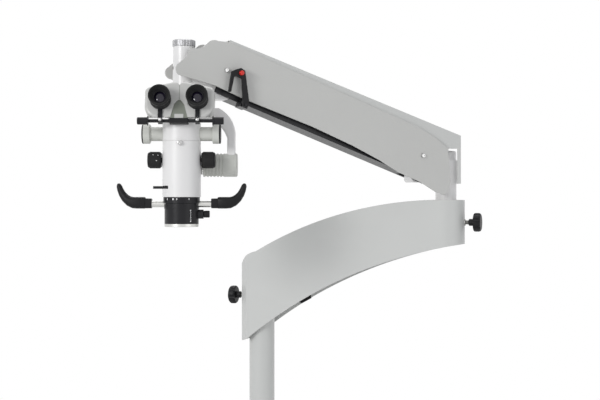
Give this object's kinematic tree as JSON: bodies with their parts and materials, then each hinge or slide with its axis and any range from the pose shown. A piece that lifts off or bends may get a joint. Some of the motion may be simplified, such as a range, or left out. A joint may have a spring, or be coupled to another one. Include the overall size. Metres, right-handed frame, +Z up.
{
  "type": "surgical microscope",
  "caption": "Binocular surgical microscope hanging from a balanced parallel arm and a curved arm on a castor floor stand.",
  "frame": {"origin": "on the floor under the column's axis", "axes": "+Z up along the column, the user sits towards -Y, +X towards the rear post of the balance arm"},
  "size_m": [0.8478, 0.8718, 1.4857],
  "materials": {
    "white_casting": "smooth white powder coat",
    "white_sheet": "fine satin white paint",
    "white_cover": "satin white moulded cover",
    "steel": "turned steel",
    "chrome": "knurled bright plating",
    "aluminium": "plain anodised aluminium",
    "black_metal": "black anodised",
    "black_plastic": "fine grained black",
    "red_plastic": "glossy red",
    "grey_plastic": "warm grey moulded",
    "black_rubber": "soft matt rubber",
    "grey_tyre": "grey castor tread",
    "glass": "coated lens glass",
    "cast_base": "cast iron under white paint"
  },
  "bodies": {
    "stand": {"base_casting": "cast_base", "column_tube": "white_sheet"},
    "castor_1": {"castor_fork_1": "steel"},
    "wheel_1": {"castor_wheel_1": "grey_tyre"},
    "pedal_1": {"brake_pedal_1": "black_plastic"},
    "castor_2": {"castor_fork_2": "steel"},
    "wheel_2": {"castor_wheel_2": "grey_tyre"},
    "pedal_2": {"brake_pedal_2": "black_plastic"},
    "castor_3": {"castor_fork_3": "steel"},
    "wheel_3": {"castor_wheel_3": "grey_tyre"},
    "castor_4": {"castor_fork_4": "steel"},
    "wheel_4": {"castor_wheel_4": "grey_tyre"},
    "curved_arm": {"curved_arm_shell": "white_sheet", "column_bearing": "white_casting", "post_bearing": "white_casting", "arm_grommet": "black_rubber"},
    "column_lock": {"column_lock_knob": "black_plastic"},
    "post_lock": {"post_lock_knob": "black_plastic"},
    "rear_post": {"rear_knuckle": "white_casting"},
    "balance_arm": {"link_channel": "steel", "upper_pins": "steel", "gas_spring": "steel", "top_cover": "white_sheet", "front_cover": "white_cover", "rear_cover": "white_cover", "cover_screws": "steel"},
    "lower_bar": {"lower_link": "black_metal", "lower_pins": "steel"},
    "front_post": {"front_knuckle": "white_casting", "set_screw": "steel"},
    "lever": {"lock_lever": "black_plastic"},
    "button": {"lock_button": "red_plastic"},
    "head": {"head_shaft": "steel", "c_bracket": "white_casting", "ribbed_housing": "grey_plastic"},
    "cap": {"knurled_cap": "chrome"},
    "microscope": {"body_tube": "white_casting", "beam_splitter": "white_casting", "splitter_ports": "grey_plastic", "port_caps": "black_plastic", "handle_ring": "black_metal", "handle_rods": "aluminium", "objective_housing": "black_metal", "objective_ring": "aluminium", "binocular_base": "white_casting"},
    "magnification": {"magnification_drum": "black_plastic"},
    "filter": {"filter_lever": "black_metal"},
    "seam_screw": {"seam_screw": "steel"},
    "grip_left": {"grip_left": "black_plastic"},
    "grip_right": {"grip_right": "black_plastic"},
    "objective_cell": {"objective_lens": "glass"},
    "focus_knob": {"focus_knob": "black_plastic"},
    "binocular": {"binocular_housing": "white_cover"},
    "barrel_left": {"barrel_left": "black_metal", "eyepiece_lens_left": "glass"},
    "eyecup_left": {"eyecup_left": "black_rubber"},
    "barrel_right": {"barrel_right": "black_metal", "eyepiece_lens_right": "glass"},
    "eyecup_right": {"eyecup_right": "black_rubber"},
    "pd_screw": {"pd_screw": "black_metal"}
  },
  "joints": [
    {"name": "castor_swivel_1", "type": "hinge", "parent": "stand", "child": "castor_1", "pos_m": [0.307, 0.307, 0.09], "axis": [0, 0, 1], "continuous": true},
    {"name": "wheel_roll_1", "type": "hinge", "parent": "castor_1", "child": "wheel_1", "pos_m": [0.307, 0.333, 0.0375], "axis": [1, 0, 0], "continuous": true},
    {"name": "brake_pedal_1", "type": "hinge", "parent": "castor_1", "child": "pedal_1", "pos_m": [0.307, 0.344, 0.087], "axis": [-1, 0, 0], "range_deg": [0, 15]},
    {"name": "castor_swivel_2", "type": "hinge", "parent": "stand", "child": "castor_2", "pos_m": [-0.307, 0.307, 0.09], "axis": [0, 0, 1], "continuous": true},
    {"name": "wheel_roll_2", "type": "hinge", "parent": "castor_2", "child": "wheel_2", "pos_m": [-0.307, 0.333, 0.0375], "axis": [1, 0, 0], "continuous": true},
    {"name": "brake_pedal_2", "type": "hinge", "parent": "castor_2", "child": "pedal_2", "pos_m": [-0.307, 0.344, 0.087], "axis": [-1, 0, 0], "range_deg": [0, 15]},
    {"name": "castor_swivel_3", "type": "hinge", "parent": "stand", "child": "castor_3", "pos_m": [-0.307, -0.307, 0.09], "axis": [0, 0, 1], "continuous": true},
    {"name": "wheel_roll_3", "type": "hinge", "parent": "castor_3", "child": "wheel_3", "pos_m": [-0.307, -0.281, 0.0375], "axis": [1, 0, 0], "continuous": true},
    {"name": "castor_swivel_4", "type": "hinge", "parent": "stand", "child": "castor_4", "pos_m": [0.307, -0.307, 0.09], "axis": [0, 0, 1], "continuous": true},
    {"name": "wheel_roll_4", "type": "hinge", "parent": "castor_4", "child": "wheel_4", "pos_m": [0.307, -0.281, 0.0375], "axis": [1, 0, 0], "continuous": true},
    {"name": "column_swivel", "type": "hinge", "parent": "stand", "child": "curved_arm", "pos_m": [0, 0, 0.9], "axis": [0, 0, 1], "range_deg": [-170, 170]},
    {"name": "column_lock_turn", "type": "hinge", "parent": "curved_arm", "child": "column_lock", "pos_m": [-0.05738, 0.01754, 0.922], "axis": [-0.9563, 0.2924, 0], "range_deg": [0, 360]},
    {"name": "post_lock_turn", "type": "hinge", "parent": "curved_arm", "child": "post_lock", "pos_m": [0.47815, -0.14619, 1.099], "axis": [0.9563, -0.2924, 0], "range_deg": [0, 360]},
    {"name": "post_swivel", "type": "hinge", "parent": "curved_arm", "child": "rear_post", "pos_m": [0.42556, -0.1301, 1.1], "axis": [0, 0, 1], "range_deg": [-150, 120]},
    {"name": "arm_lift", "type": "hinge", "parent": "rear_post", "child": "balance_arm", "pos_m": [0.35045, -0.16045, 1.249], "axis": [-0.3746, 0.9272, 0], "range_deg": [-40, 8]},
    {"name": "lower_bar_lift", "type": "hinge", "parent": "rear_post", "child": "lower_bar", "pos_m": [0.35045, -0.16045, 1.204], "axis": [-0.3746, 0.9272, 0], "range_deg": [-40, 8]},
    {"name": "front_post_level", "type": "hinge", "parent": "balance_arm", "child": "front_post", "pos_m": [-0.07789, -0.33351, 1.42081], "axis": [-0.3746, 0.9272, 0], "range_deg": [-8, 40]},
    {"name": "lock_lever_swing", "type": "hinge", "parent": "lower_bar", "child": "lever", "pos_m": [-0.02347, -0.36976, 1.34876], "axis": [-0.3746, 0.9272, 0], "range_deg": [0, 25]},
    {"name": "lock_button_press", "type": "slide", "parent": "lever", "child": "button", "axis": [-0.3746, 0.9272, 0], "range_m": [0, 0.003], "stiffness_N_per_m": 300},
    {"name": "head_swivel", "type": "hinge", "parent": "front_post", "child": "head", "pos_m": [-0.15207, -0.36348, 1.4], "axis": [0, 0, 1], "range_deg": [-150, 18]},
    {"name": "knurled_cap_turn", "type": "hinge", "parent": "head", "child": "cap", "pos_m": [-0.15207, -0.36348, 1.475], "axis": [0, 0, 1], "range_deg": [0, 360]},
    {"name": "body_tilt", "type": "hinge", "parent": "head", "child": "microscope", "pos_m": [-0.15207, -0.36348, 1.223], "axis": [1, 0, 0], "range_deg": [0, 60]},
    {"name": "magnification_turn", "type": "hinge", "parent": "microscope", "child": "magnification", "pos_m": [-0.15207, -0.41348, 1.232], "axis": [1, 0, 0], "continuous": true},
    {"name": "filter_swing", "type": "hinge", "parent": "microscope", "child": "filter", "pos_m": [-0.15207, -0.41348, 1.176], "axis": [0, 0, 1], "range_deg": [0, 40]},
    {"name": "seam_screw_turn", "type": "hinge", "parent": "microscope", "child": "seam_screw", "pos_m": [-0.15207, -0.45548, 1.266], "axis": [0, -1, 0], "range_deg": [0, 360]},
    {"name": "grip_turn_left", "type": "hinge", "parent": "microscope", "child": "grip_left", "pos_m": [-0.22207, -0.41348, 1.1415], "axis": [1, 0, 0], "range_deg": [-45, 45]},
    {"name": "grip_turn_right", "type": "hinge", "parent": "microscope", "child": "grip_right", "pos_m": [-0.08207, -0.41348, 1.1415], "axis": [1, 0, 0], "range_deg": [-45, 45]},
    {"name": "focus_travel", "type": "slide", "parent": "microscope", "child": "objective_cell", "axis": [0, 0, 1], "range_m": [-0.005, 0.005]},
    {"name": "focus_turn", "type": "hinge", "parent": "microscope", "child": "focus_knob", "pos_m": [-0.10207, -0.41348, 1.121], "axis": [1, 0, 0], "range_deg": [-360, 360]},
    {"name": "binocular_tilt", "type": "hinge", "parent": "microscope", "child": "binocular", "pos_m": [-0.15207, -0.43548, 1.345], "axis": [-1, 0, 0], "range_deg": [0, 15]},
    {"name": "barrel_slide_left", "type": "slide", "parent": "binocular", "child": "barrel_left", "axis": [1, 0, 0], "range_m": [0, 0.01]},
    {"name": "eyecup_turn_left", "type": "hinge", "parent": "barrel_left", "child": "eyecup_left", "pos_m": [-0.18957, -0.47797, 1.35588], "axis": [0, -0.9659, 0.2588], "range_deg": [-150, 150]},
    {"name": "barrel_slide_right", "type": "slide", "parent": "binocular", "child": "barrel_right", "axis": [-1, 0, 0], "range_m": [0, 0.01]},
    {"name": "eyecup_turn_right", "type": "hinge", "parent": "barrel_right", "child": "eyecup_right", "pos_m": [-0.11457, -0.47797, 1.35588], "axis": [0, -0.9659, 0.2588], "range_deg": [-150, 150]},
    {"name": "pd_screw_turn", "type": "hinge", "parent": "binocular", "child": "pd_screw", "pos_m": [-0.15207, -0.46847, 1.30903], "axis": [1, 0, 0], "range_deg": [0, 720]}
  ],
  "couplings": [
    {"joint": "lower_bar_lift", "follows": "arm_lift", "ratio": 1},
    {"joint": "front_post_level", "follows": "arm_lift", "ratio": -1},
    {"joint": "focus_turn", "follows": "focus_travel", "rad_per_m": 1250},
    {"joint": "barrel_slide_right", "follows": "barrel_slide_left", "ratio": 1},
    {"joint": "pd_screw_turn", "follows": "barrel_slide_left", "rad_per_m": 1250}
  ]
}
